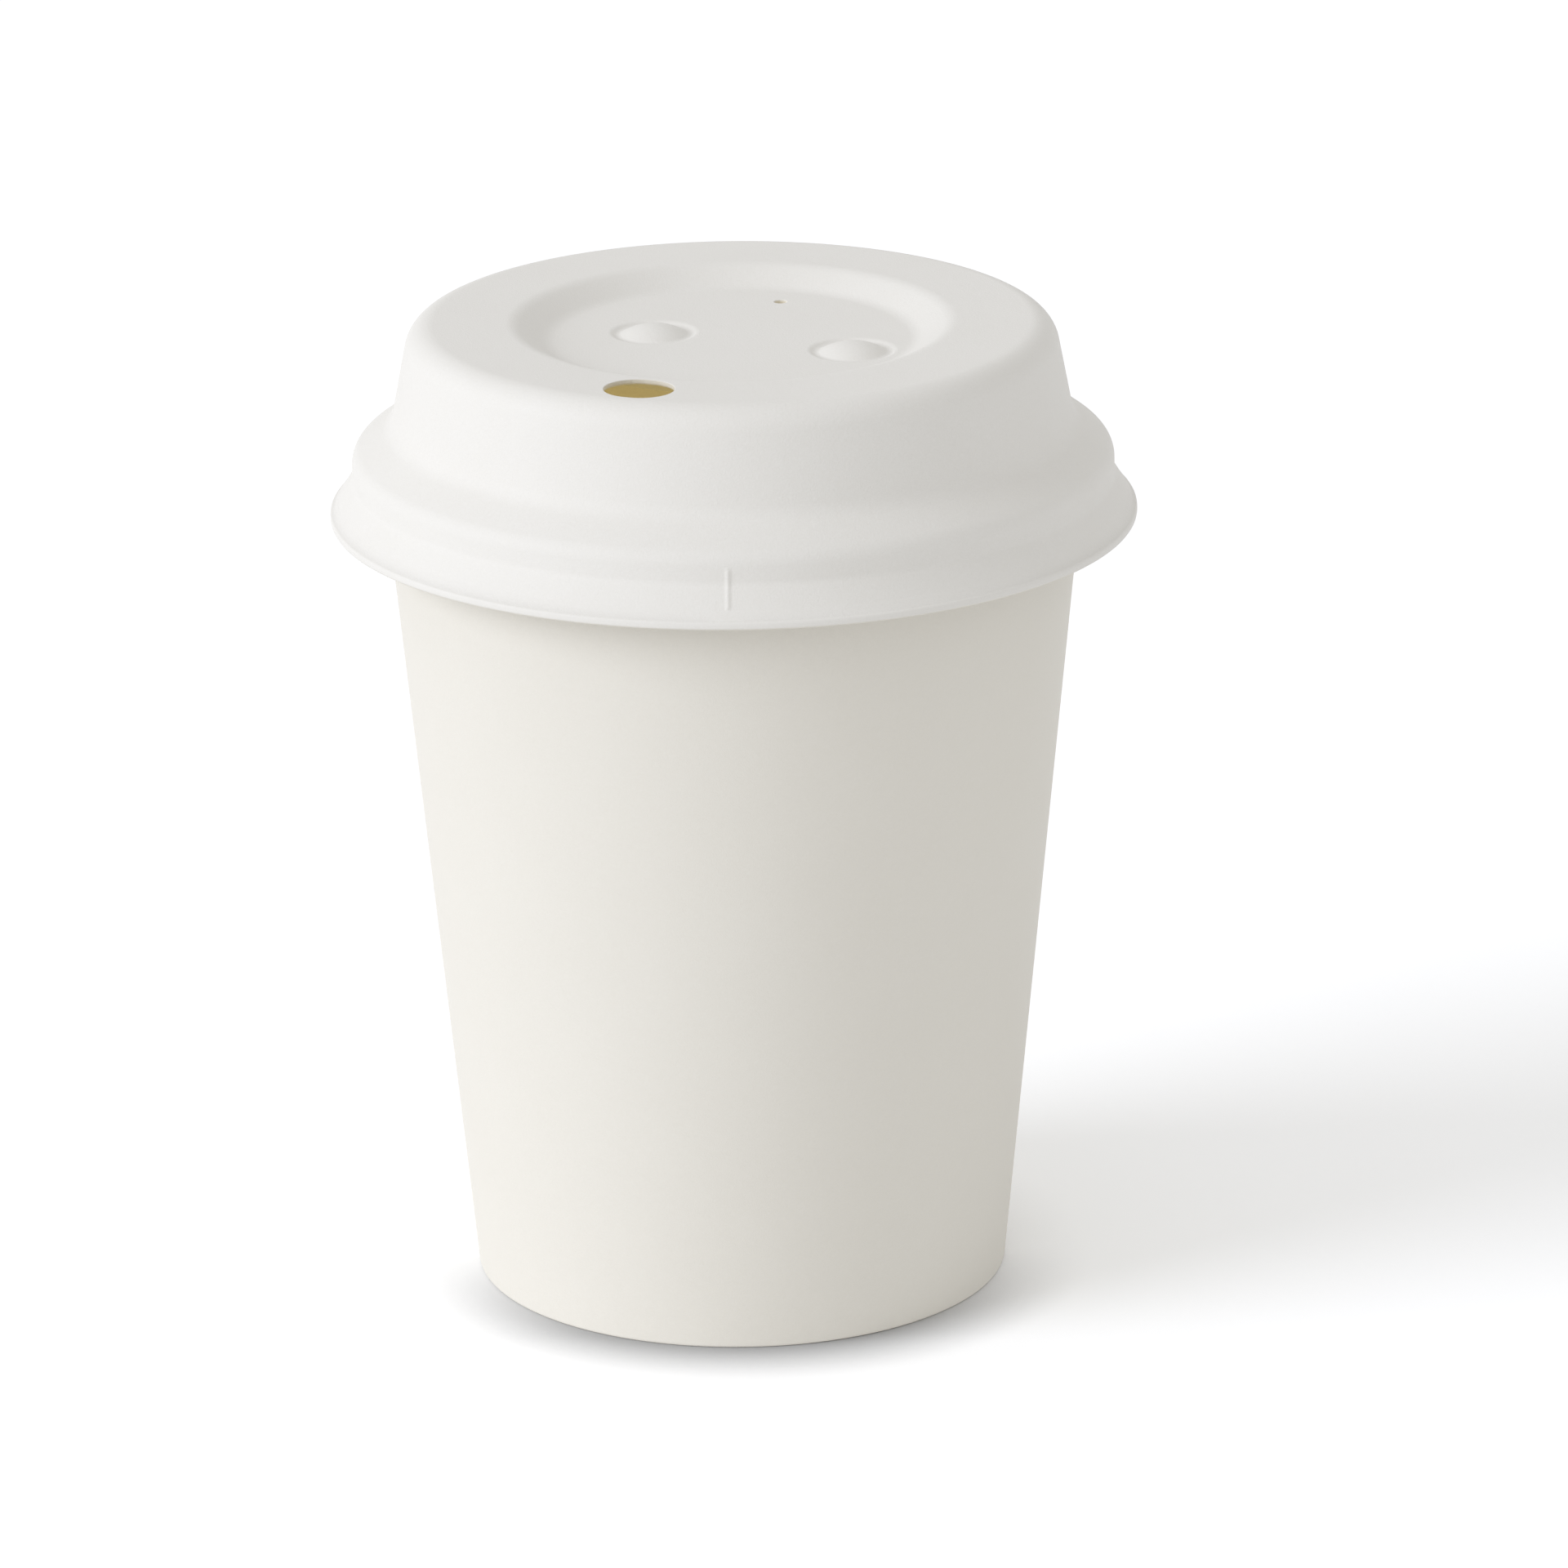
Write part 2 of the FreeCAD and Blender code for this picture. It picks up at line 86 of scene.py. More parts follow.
def size(name, description, default):
    """A length in millimetres that a user may change."""
    return FloatProperty(name=name, description=description + ", in millimetres", default=default,
                         min=0.0, precision=3)


def angle(name, description, default):
    """An angle in degrees that a user may change."""
    return FloatProperty(name=name, description=description + ", in degrees", default=default,
                         precision=2)


def amount(name, description, default):
    """A plain number that a user may change."""
    return FloatProperty(name=name, description=description, default=default, precision=4)


def colour(name, description, default):
    """A linear colour that a user may change."""
    return FloatVectorProperty(name=name, description=description, default=default, size=3,
                               subtype="COLOR", min=0.0, max=1.0)


class PaperCupSizes(bpy.types.PropertyGroup):
    """The cup's wall and bottom."""

    rim_diameter: size("Rim", "Outer diameter of the rolled rim", 80.0)
    cup_height: size("Height", "Foot to the top of the rolled rim", 92.7)
    base_diameter: size("Foot", "Outer diameter at the foot", 57.9)
    board: size("Wall board", "Thickness of the wall's board", 0.35)
    bottom_board: size("Bottom board", "Thickness of the bottom's board", 0.35)
    curl_diameter: size("Roll", "Rolled rim, across the roll", 2.5)
    curl_turn: angle("Roll turn", "How far the rim is rolled", 308.0)
    foot_crease: size("Crease", "Inside radius of the hem's creases", 0.05)
    hem_height: size("Hem", "Height of the hem folded up inside the foot", 6.2)
    hem_fit: size("Hem space", "Space on each side of the bottom's skirt", 0.05)
    bottom_lift: size("Bottom lift", "Underside of the bottom above the hem", 0.9)
    bottom_bend: size("Bottom bend", "Outside radius of the bottom's edge", 0.9)
    lap_angle: angle("Side lap", "Width of the side lap round the axis", 10.5)
    lap_ramp: angle("Lap ramp", "Where the upper layer climbs over the lower one", 1.6)
    lap_on_roll: size("Lap on roll", "How far the lap stands proud on the rolled rim", 0.15)
    columns: IntProperty(name="Columns", description="Faces round the cup", default=288, min=48)


class SipLidSizes(bpy.types.PropertyGroup):
    """The moulded lid."""

    lid_wall: size("Sheet", "Thickness of the moulded sheet", 0.65)
    lid_clearance: size("Clearance", "Space between the rolled rim and the lid", 0.3)
    lid_rise: size("Rise", "Lid top above the rim", 13.95)
    crown_setback: size("Crown setback", "Flat top's edge inside the centre of the roll", 6.75)
    crown_bend: size("Crown corner", "Radius of the crown's corner", 3.1)
    crown_draft: angle("Crown draft", "Lean of the crown's side", 10.9)
    foot_bend: size("Hollow", "Hollow radius where the crown meets the shoulder", 3.0)
    shoulder_slope: angle("Shoulder", "Fall of the shoulder", 36.0)
    skirt_drop: size("Skirt", "Upright skirt below the centre of the roll", 1.45)
    neck_bend: size("Neck", "Hollow radius between skirt and flare", 1.2)
    flare_tilt: angle("Flare", "Flare from upright", 32.0)
    lip_bend: size("Lip bend", "Hollow radius between flare and lip", 2.0)
    lip_tilt: angle("Lip", "Lip from upright", 45.0)
    lip_width: size("Lip width", "Lip, measured outwards", 0.9)
    flange_overhang: size("Overhang", "Lip's edge outside the skirt", 2.45)
    top_land: size("Land", "Flat ring between recess and crown corner", 7.8)
    recess_depth: size("Recess", "Fall of the round recess", 2.0)
    recess_slope: angle("Recess wall", "Steepest fall of the recess wall", 29.0)
    recess_bend: size("Recess bends", "Radii at the top and foot of the recess wall", 3.2)
    sip_width: size("Sip hole width", "Sip hole along the rim", 7.5)
    sip_depth: size("Sip hole depth", "Sip hole across the rim", 6.9)
    sip_edge: size("Sip hole edge", "Rounding of the sip hole's upper edge", 0.08)
    sip_under: size("Sip hole underside", "Rounding of the sip hole's lower edge", 0.3)
    vent_diameter: size("Vent", "Vent hole", 1.4)
    vent_inset: size("Vent inset", "Vent inside the recess floor's edge", 3.6)
    vent_edge: size("Vent edge", "Rounding of the vent's edges", 0.1)
    dome_radius: size("Button dome", "Spherical radius of a button's dome", 6.72)
    dome_angle: angle("Button angle", "Half angle of a button's dome", 31.0)
    moat_bend: size("Moat", "Hollow radius of the moat round a button", 0.9)
    moat_crease: size("Moat crease", "Inside radius of the moat's outer lip", 0.5)
    moat_angle: angle("Moat side", "Steepest rise of the moat's outer side", 30.0)
    button_gap: size("Button gap", "Right button inside the recess floor's edge", 0.15)
    button_spacing: size("Button spacing", "Between the two buttons", 22.6)
    button_shift: size("Button shift", "Buttons nearer the sip hole than the axis", 0.4)
    nib_angle: angle("Nib place", "Nib on the flare, round from the sip hole", 19.3)
    nib_width: size("Nib width", "Nib, measured round the skirt", 0.42)
    nib_height: size("Nib height", "Nib proud of the flare", 0.13)
    rim_round: size("Cut edge", "Rounding of the lip's cut edge", 0.3)
    columns: IntProperty(name="Columns", description="Faces round the lid", default=288, min=48)


class PaperFinish(bpy.types.PropertyGroup):
    """Colours of the board and the fibre, as linear values."""

    board: colour("Board", "Outside of the cup's board", (0.81, 0.782, 0.716))
    board_core: colour("Board core", "Cut edge of the board", (0.74, 0.69, 0.58))
    lining: colour("Lining", "Lined inside of the board", (0.80, 0.755, 0.65))
    fibre: colour("Fibre", "Outside of the moulded lid", (0.825, 0.807, 0.769))
    fibre_inside: colour("Fibre inside", "Underside of the moulded lid", (0.81, 0.785, 0.72))
    screen_pitch: size("Screen pitch", "Wires of the forming screen, seen on the underside", 0.9)


class StudioSettings(bpy.types.PropertyGroup):
    """Floor, light and camera."""

    floor_size: FloatProperty(name="Floor", description="Width of the floor", default=6.0,
                              unit="LENGTH", subtype="DISTANCE")
    floor_seen: amount("Floor as seen", "Grey of the floor to the camera", 1.2)
    floor_lit: amount("Floor as lit", "Grey of the floor to other light", 0.92)
    contact: size("Contact shade", "Reach of the shade where the foot meets the floor", 10.0)
    contact_side: angle("Contact side", "Where it is deepest, round from -Y towards +X", 20.0)
    contact_full: size("Contact full", "How far out on that side the shade is deepest", 25.0)
    contact_front: amount("Contact, front", "Floor's share of light, where it is deepest", 0.38)
    contact_back: amount("Contact, back", "Floor's share of light, all round elsewhere", 0.9)
    sky: amount("Sky", "Strength of the even light", 0.695)
    lamp: amount("Lamp", "Strength of the side light", 1.53)
    lamp_colour: colour("Lamp colour", "Colour of the side light", (0.89, 0.92, 1.0))
    lamp_height: angle("Lamp height", "Elevation of the side light", 24.0)
    lamp_side: angle("Lamp side", "Side light, to the left of the camera", 68.0)
    lamp_spread: angle("Lamp spread", "Apparent width of the side light", 33.0)
    glow: amount("Glow", "Power of the light let in by the thin board, in watts", 0.016)
    glow_colour: colour("Glow colour", "Colour of the light let in by the thin board",
                        (1.0, 0.86, 0.45))
    glow_radius: size("Glow radius", "Radius of the light inside the cup", 12.0)
    glow_height: size("Glow height", "Light inside the cup, above the foot", 60.0)
    view_side: angle("View side", "Camera, round from -Y towards +X", 20.0)
    view_height: angle("View height", "Camera above the horizon", 18.32)
    view_roll: angle("View roll", "Camera turned clockwise", 0.565)
    view_distance: FloatProperty(name="View distance", description="Camera to its target",
                                 default=1.03, unit="LENGTH", subtype="DISTANCE")
    view_across: size("View across", "Target to the right of the axis", 5.107)
    view_up: size("View up", "Target above the floor", 54.29)
    lens: size("Lens", "Focal length on a 36 mm frame", 217.575)


# Sections of bent sheet


def bend(r, z, radius, start, end):
    """A bend: centre, radius of its outer face (negative is hollow) and directions faced."""
    return {"centre": (r, z), "radius": radius, "start": start, "end": end}


def edge(outer, inner):
    """A cut edge: the corners on the sheet's outer and inner face."""
    return {"outer": outer, "inner": inner}


def face_points(path, depth, step=9.0, run=3.0):
    """Points (r, z) along one face of a bent sheet, at a depth below its outer face.

    A bend has a point every few degrees (step), a straight every few millimetres (run).
    """
    corners = []
    for item in path:
        if "outer" in item:
            corners.append([item["outer"] if depth == 0 else item["inner"]])
            continue
        reach = item["radius"] - depth
        turn = item["end"] - item["start"]
        count = max(2, math.ceil(abs(turn) / step))
        arc = []
        for index in range(count + 1):
            facing = math.radians(item["start"] + turn * index / count)
            arc.append((item["centre"][0] + reach * math.cos(facing),
                        item["centre"][1] + reach * math.sin(facing)))
        corners.append(arc)
    points = []
    for arc in corners:
        if points:
            last, first = points[-1], arc[0]
            length = math.dist(last, first)
            parts = math.ceil(length / run)
            for index in range(1, parts):
                share = index / parts
                points.append((last[0] + (first[0] - last[0]) * share,
                               last[1] + (first[1] - last[1]) * share))
            if length < SAME:
                arc = arc[1:]
        points.extend(arc)
    return points


# Modelling steps, as by hand


def outwards(degrees):
    """The level direction away from the axis, round from +X."""
    return Vector((math.cos(math.radians(degrees)), math.sin(math.radians(degrees)), 0))


def begin(name):
    """A new mesh object at the origin, in edit mode and with nothing in it."""
    bpy.ops.object.select_all(action="DESELECT")
    bpy.ops.object.add(type="MESH", location=(0, 0, 0))
    piece = bpy.context.object
    piece.name = name
    piece.data.name = name
    bpy.ops.object.mode_set(mode="EDIT")
    bpy.ops.mesh.select_mode(type="VERT")
    return piece


def draw_line(points, centre=(0.0, 0.0), turned=0.0):
    """Draw a section through a vertical axis: one vertex, extruded from point to point."""
    across = outwards(turned)
    places = [Vector((centre[0], centre[1], 0)) * MM + across * r * MM + Vector((0, 0, z * MM))
              for r, z in points]
    bpy.ops.mesh.select_all(action="DESELECT")
    bpy.ops.mesh.primitive_plane_add(size=MM, location=places[0])
    bpy.ops.mesh.merge(type="CENTER")
    for before, here in zip(places, places[1:]):
        bpy.ops.mesh.extrude_vertices_move(TRANSFORM_OT_translate={"value": here - before})
    bpy.ops.mesh.select_linked()


def turn_line(columns, centre=(0.0, 0.0), degrees=360.0):
    """Spin the selected line about a vertical axis, anticlockwise as seen from above."""
    bpy.ops.mesh.spin(steps=columns, angle=-math.radians(degrees), use_auto_merge=True,
                      center=(centre[0] * MM, centre[1] * MM, 0), axis=(0, 0, 1))


def turned_sheet(name, points, columns, centre=(0.0, 0.0)):
    """A section drawn and turned into an object of its own, ready to be joined."""
    part = begin(name)
    draw_line(points, centre)
    turn_line(columns, centre)
    bpy.ops.object.mode_set(mode="OBJECT")
    return part


def join(parts, name):
    """Make one object of several and open it in edit mode."""
    bpy.ops.object.select_all(action="DESELECT")
    for part in parts:
        part.select_set(True)
    bpy.context.view_layer.objects.active = parts[0]
    bpy.ops.object.join()
    piece = bpy.context.object
    piece.name = name
    piece.data.name = name
    bpy.ops.object.mode_set(mode="EDIT")
    return piece


def select_where(piece, wanted, kind="verts"):
    """Select the vertices, edges or faces that a test picks, and nothing else."""
    bpy.ops.mesh.select_all(action="DESELECT")
    bpy.ops.mesh.select_mode(type={"verts": "VERT", "edges": "EDGE", "faces": "FACE"}[kind])
    mesh = bmesh.from_edit_mesh(piece.data)
    for item in getattr(mesh, kind):
        if wanted(item):
            item.select_set(True)
    mesh.select_flush_mode()
    bmesh.update_edit_mesh(piece.data)


def close_plane(piece, height):
    """Fill the flat field between all open edges that lie in one level plane."""
    def open_here(item):
        return item.is_boundary and all(abs(v.co.z - height * MM) < NOTHING for v in item.verts)

    select_where(piece, open_here, "edges")
    bpy.ops.mesh.fill(use_beauty=True)


def merge_doubles():
    """Select everything and make one of points that lie in the same place."""
    bpy.ops.mesh.select_mode(type="VERT")
    bpy.ops.mesh.select_all(action="SELECT")
    bpy.ops.mesh.remove_doubles(threshold=MERGE)


def tidy_mesh():
    """Merge doubled points, close poles and turn all faces outwards."""
    merge_doubles()
    bpy.ops.mesh.dissolve_degenerate(threshold=NOTHING)
    bpy.ops.mesh.normals_make_consistent(inside=False)


def finish_piece(piece, body, node, materials):
    """Leave edit mode, smooth the piece and hand it to its body in place of the CAD node."""
    bpy.ops.object.mode_set(mode="OBJECT")
    bpy.ops.object.shade_smooth()
    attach(piece, body)
    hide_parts(node)
    for material in materials:
        piece.data.materials.append(material)


def paint_sheet(piece, path, thickness):
    """Give a sheet's outer face, inner face and cut edges the piece's three materials."""
    outer = face_points(path, 0, step=3, run=0.1)
    inner = face_points(path, thickness, step=3, run=0.1)
    marks = [(place, OUTER) for place in outer] + [(place, INNER) for place in inner]
    for high, low in ((outer[0], inner[0]), (outer[-1], inner[-1])):
        marks.append((((high[0] + low[0]) / 2, (high[1] + low[1]) / 2), CUT))
    tree = kdtree.KDTree(len(marks))
    for index, (place, _) in enumerate(marks):
        tree.insert((place[0], place[1], 0), index)
    tree.balance()
    mostly = 0.8  # share of its normal that a face on the blank's own ends has round the axis
    for face in piece.data.polygons:
        centre = face.center / MM
        across = math.hypot(centre.x, centre.y)
        face.material_index = marks[tree.find((across, centre.z, 0))[1]][1]
        round_about = (face.normal.y * centre.x - face.normal.x * centre.y) / max(across, TINY)
        if abs(round_about) > mostly:
            face.material_index = CUT


# Cup


def cup_numbers(s):
    """What the cup's sizes lead to."""
    n = {}
    base_radius = s.base_diameter / 2
    n["roll"] = s.curl_diameter / 2
    n["roll_inside"] = n["roll"] - s.board
    n["roll_r"] = s.rim_diameter / 2 - n["roll"]
    n["roll_z"] = s.cup_height - n["roll"]
    reach = n["roll_r"] - base_radius
    span = math.sqrt(reach ** 2 + n["roll_z"] ** 2 - n["roll_inside"] ** 2)
    slope = ((reach * span - n["roll_z"] * n["roll_inside"])
             / (reach * n["roll_inside"] + n["roll_z"] * span))
    cosine = 1 / math.sqrt(1 + slope ** 2)
    n["lean"] = math.degrees(math.atan(slope))
    n["crease"] = s.board + s.foot_crease
    stack = 2 * s.board + s.bottom_board + 2 * s.hem_fit
    n["outer_r"] = base_radius + slope * n["crease"] - n["crease"] / cosine
    n["inner_r"] = base_radius + slope * n["crease"] - (stack - n["crease"]) / cosine
    n["hem_r"] = base_radius + slope * s.hem_height - stack / cosine
    n["hem_in_r"] = n["hem_r"] + s.board / cosine
    skirt_in = s.board + s.hem_fit
    n["bottom_z"] = s.hem_height + s.bottom_lift + s.bottom_board
    n["bend_z"] = n["bottom_z"] - s.bottom_bend
    n["bend_r"] = base_radius + slope * n["bend_z"] - (skirt_in + s.bottom_bend) / cosine
    n["skirt_z"] = s.board + s.hem_fit
    n["skirt_r"] = base_radius + slope * n["skirt_z"] - skirt_in / cosine
    n["skirt_in_r"] = n["skirt_r"] - s.bottom_board / cosine
    n["lap_high"] = n["roll_z"] - n["roll"] - s.board
    return n


def wall_path(s, n):
    """The wall's bends, from the roll's free edge down to the hem's top edge."""
    lean = n["lean"]
    return [
        bend(n["roll_r"], n["roll_z"], -n["roll_inside"], -lean - s.curl_turn, -lean),
        bend(n["outer_r"], n["crease"], n["crease"], -lean, -90),
        bend(n["inner_r"], n["crease"], n["crease"], -90, -180 - lean),
        edge((n["hem_r"], s.hem_height), (n["hem_in_r"], s.hem_height)),
    ]


def wall_section(s, n, lap):
    """The wall's closed section, down its outside from the roll's free edge and back up inside.

    With a lap the upper layer stands proud of the outside, and a little on the roll.
    """
    path = wall_path(s, n)
    outside = face_points(path, 0)
    inside = face_points(path, s.board)[::-1]
    if lap:
        outside = [(r + s.board, z) if r > n["outer_r"] and n["crease"] <= z <= n["lap_high"]
                   else (r, z) for r, z in outside]
        inside = [lifted_on_roll(s, n, point) for point in inside]
    return outside + inside + outside[:1]


def lifted_on_roll(s, n, point):
    """A point of the roll's outside, lifted where the lap runs over it.

    The lap runs from 60 degrees below the roll's outermost point to 120 degrees above it, and
    fades out at both ends.
    """
    below, skipped = 60, 5
    across, up = point[0] - n["roll_r"], point[1] - n["roll_z"]
    away = math.hypot(across, up)
    facing = math.degrees(math.atan2(up, across)) % 360
    along = (facing + below) % 360
    if abs(away - n["roll"]) > ON_ARC or not skipped < along < 180 - skipped:
        return point
    share = math.sin(math.radians(along)) * s.lap_on_roll / away
    return (point[0] + across * share, point[1] + up * share)


def carry_line(piece, before, after, degrees, turned):
    """Extrude the selected section in place, turn it and put each point at its new place."""
    bpy.ops.mesh.extrude_region_move()
    old, new = outwards(turned), outwards(turned + degrees)
    mesh = bmesh.from_edit_mesh(piece.data)
    for vertex in mesh.verts:
        if not vertex.select:
            continue
        place = (vertex.co.dot(old) / MM, vertex.co.z / MM)
        index = min(range(len(before)), key=lambda i: math.dist(before[i], place))
        vertex.co = new * after[index][0] * MM + Vector((0, 0, after[index][1] * MM))
    bmesh.update_edit_mesh(piece.data)


class PAPERCUP_OT_wall(bpy.types.Operator):
    """Cup wall: folded hem, cone, rolled rim and side lap"""

    bl_idname = "papercup.wall"
    bl_label = "Cup wall"

    def execute(self, context):
        s = context.scene.paper_cup_sizes
        n = cup_numbers(s)
        plain, lapped = wall_section(s, n, False), wall_section(s, n, True)
        start = 90 + s.lap_angle / 2
        piece = begin("paper_cup_wall")
        draw_line(plain, turned=start)
        turn_line(s.columns, degrees=360 - s.lap_angle)
        carry_line(piece, plain, lapped, 0, start - s.lap_angle)
        turn_line(LAP_COLUMNS, degrees=s.lap_angle - s.lap_ramp)
        carry_line(piece, lapped, plain, s.lap_ramp, start - s.lap_ramp)
        tidy_mesh()
        finish = context.scene.paper_finish
        finish_piece(piece, "cup", "cup_wall",
                     [board_material(finish), lining_material(finish), core_material(finish)])
        paint_sheet(piece, wall_path(s, n), s.board)
        return {"FINISHED"}


class PAPERCUP_OT_bottom(bpy.types.Operator):
    """Cup bottom: a disc with its edge turned down into the hem"""

    bl_idname = "papercup.bottom"
    bl_label = "Cup bottom"

    def execute(self, context):
        s = context.scene.paper_cup_sizes
        n = cup_numbers(s)
        path = [
            edge((0.0, n["bottom_z"]), (0.0, n["bottom_z"] - s.bottom_board)),
            bend(n["bend_r"], n["bend_z"], s.bottom_bend, 90, -n["lean"]),
            edge((n["skirt_r"], n["skirt_z"]), (n["skirt_in_r"], n["skirt_z"])),
        ]
        piece = begin("paper_cup_bottom")
        draw_line(face_points(path, 0) + face_points(path, s.bottom_board)[::-1])
        turn_line(s.columns)
        tidy_mesh()
        finish = context.scene.paper_finish
        finish_piece(piece, "cup", "cup_bottom",
                     [lining_material(finish), board_material(finish), core_material(finish)])
        paint_sheet(piece, path, s.bottom_board)
        return {"FINISHED"}


# Lid


def lid_numbers(c, s):
    """What the lid's sizes lead to, on the rim of a cup."""
    cup = cup_numbers(c)
    n = {"roll_r": cup["roll_r"], "roll_z": cup["roll_z"], "top_z": c.cup_height + s.lid_rise}
    n["crown_r"] = n["roll_r"] - s.crown_setback
    n["crown_z"] = n["top_z"] - s.crown_bend
    n["shoulder"] = cup["roll"] + s.lid_clearance + s.lid_wall
    n["lift"] = 90 - s.shoulder_slope
    n["skirt_r"] = n["roll_r"] + n["shoulder"]
    draft, lift = math.radians(s.crown_draft), math.radians(n["lift"])
    side = (n["crown_r"] * math.cos(draft) + n["crown_z"] * math.sin(draft)
            + s.crown_bend + s.foot_bend)
    slope = (n["roll_r"] * math.cos(lift) + n["roll_z"] * math.sin(lift)
             + n["shoulder"] + s.foot_bend)
    sine = math.sin(lift - draft)
    n["foot_r"] = (side * math.sin(lift) - slope * math.sin(draft)) / sine
    n["foot_z"] = (slope * math.cos(draft) - side * math.cos(lift)) / sine
    n["neck_r"] = n["skirt_r"] + s.neck_bend
    n["neck_z"] = n["roll_z"] - s.skirt_drop
    n["flange_r"] = n["skirt_r"] + s.flange_overhang
    flare, lip = math.radians(s.flare_tilt), math.radians(s.lip_tilt)
    n["corner_r"] = n["flange_r"] - s.lip_width
    start_r = n["neck_r"] - s.neck_bend * math.cos(flare)
    start_z = n["neck_z"] - s.neck_bend * math.sin(flare)
    n["corner_z"] = start_z - (n["corner_r"] - start_r) / math.tan(flare)
    reach = s.lip_bend / math.cos((lip - flare) / 2)
    n["lip_r"] = n["corner_r"] + reach * math.cos((lip + flare) / 2)
    n["lip_z"] = n["corner_z"] + reach * math.sin((lip + flare) / 2)
    n["edge_high"] = n["corner_z"] - s.lip_width / math.tan(lip)
    n["edge_low"] = n["edge_high"] - s.lid_wall / math.sin(lip)
    n["recess_r"] = n["crown_r"] - s.top_land
    n["recess_z"] = n["top_z"] - s.recess_bend
    fall = math.radians(s.recess_slope)
    run = (s.recess_depth - 2 * s.recess_bend * (1 - math.cos(fall))) / math.sin(fall)
    n["floor_r"] = n["recess_r"] - 2 * s.recess_bend * math.sin(fall) - run * math.cos(fall)
    n["floor_z"] = n["top_z"] - s.recess_depth
    n["top_low"] = n["top_z"] - s.lid_wall
    n["floor_low"] = n["floor_z"] - s.lid_wall
    n["sip_r"] = n["recess_r"] + s.top_land / 2
    n["vent_y"] = n["floor_r"] - s.vent_inset
    dome, moat = math.radians(s.dome_angle), math.radians(s.moat_angle)
    n["moat_lip"] = s.lid_wall + s.moat_crease
    n["moat_r"] = (s.dome_radius + s.moat_bend) * math.sin(dome)
    n["button_r"] = n["moat_r"] + (s.moat_bend + n["moat_lip"]) * math.sin(moat)
    n["moat_lip_z"] = n["floor_z"] - n["moat_lip"]
    n["moat_z"] = n["moat_lip_z"] + (s.moat_bend + n["moat_lip"]) * math.cos(moat)
    n["dome_z"] = n["moat_z"] - (s.dome_radius + s.moat_bend) * math.cos(dome)
    n["right"] = n["floor_r"] - n["button_r"] - s.button_gap
    n["left"] = s.button_spacing - n["right"]
    return n


def quarter_turn():
    """Shares (across, down) of an edge's radius, from the flat face round to the cut."""
    turns = [math.radians(90 * index / EDGE_STEPS) for index in range(EDGE_STEPS + 1)]
    return [(1 - math.sin(turn), 1 - math.cos(turn)) for turn in turns]


def rounded_edge(outer, inner, radius):
    """Points round a sheet's cut edge, from its outer to its inner corner."""
    outer, inner = Vector(outer), Vector(inner)
    along = (inner - outer).normalized()
    out = Vector((-along.y, along.x))
    if out.x < 0:
        out = -out
    first, second = [[corner + way * radius * down - out * radius * across
                      for across, down in quarter_turn()]
                     for corner, way in ((outer, along), (inner, -along))]
    return [tuple(place) for place in first + second[::-1]]


def hole_section(radius, over, under, high, low):
    """Section of a hole through the sheet, with its edges rounded and a flat collar round it."""
    return ([(radius + over + COLLAR, high)]
            + [(radius + over * across, high - over * down) for across, down in quarter_turn()]
            + [(radius + under * across, low + under * down)
               for across, down in quarter_turn()[::-1]]
            + [(radius + under + COLLAR, low)])


def outside_section(s, n):
    """Section of the lid from the land outwards and down to the lip, round it and back inside."""
    lift = n["lift"]
    start = n["crown_r"] - LAND_COLLAR
    path = [
        edge((start, n["top_z"]), (start, n["top_low"])),
        bend(n["crown_r"], n["crown_z"], s.crown_bend, 90, s.crown_draft),
        bend(n["foot_r"], n["foot_z"], -s.foot_bend, s.crown_draft, lift),
        bend(n["roll_r"], n["roll_z"], n["shoulder"], lift, 0),
        bend(n["neck_r"], n["neck_z"], -s.neck_bend, 0, s.flare_tilt),
        bend(n["lip_r"], n["lip_z"], -s.lip_bend, s.flare_tilt, s.lip_tilt),
    ]
    high, low = (n["flange_r"], n["edge_high"]), (n["flange_r"], n["edge_low"])
    return (face_points(path, 0, step=6, run=1.5) + rounded_edge(high, low, s.rim_round)
            + face_points(path, s.lid_wall, step=6, run=1.5)[::-1])


def recess_path(s, n):
    """The recess from its floor up its wall to the land."""
    floor, land = n["floor_r"] - COLLAR, n["recess_r"] + LAND_COLLAR
    return [
        edge((floor, n["floor_z"]), (floor, n["floor_low"])),
        bend(n["floor_r"], n["floor_z"] + s.recess_bend, -s.recess_bend, 90, 90 + s.recess_slope),
        bend(n["recess_r"], n["recess_z"], s.recess_bend, 90 + s.recess_slope, 90),
        edge((land, n["top_z"]), (land, n["top_low"])),
    ]


def button_path(s, n):
    """A button from the middle of its dome down into its moat and out to the recess floor."""
    floor = n["button_r"] + COLLAR
    return [
        bend(0.0, n["dome_z"], s.dome_radius, 90, 90 - s.dome_angle),
        bend(n["moat_r"], n["moat_z"], -s.moat_bend, 90 - s.dome_angle, 90 + s.moat_angle),
        bend(n["button_r"], n["moat_lip_z"], n["moat_lip"], 90 + s.moat_angle, 90),
        edge((floor, n["floor_z"]), (floor, n["floor_low"])),
    ]


def widen_hole(piece, centre, reach, half):
    """Part a round hole's two halves, so that it becomes an oval along X."""
    for way in (1, -1):
        select_where(piece, lambda v: v.co.x * way > TINY
                     and math.dist(v.co[:2], centre) < reach)
        bpy.ops.transform.translate(value=(way * half, 0, 0))


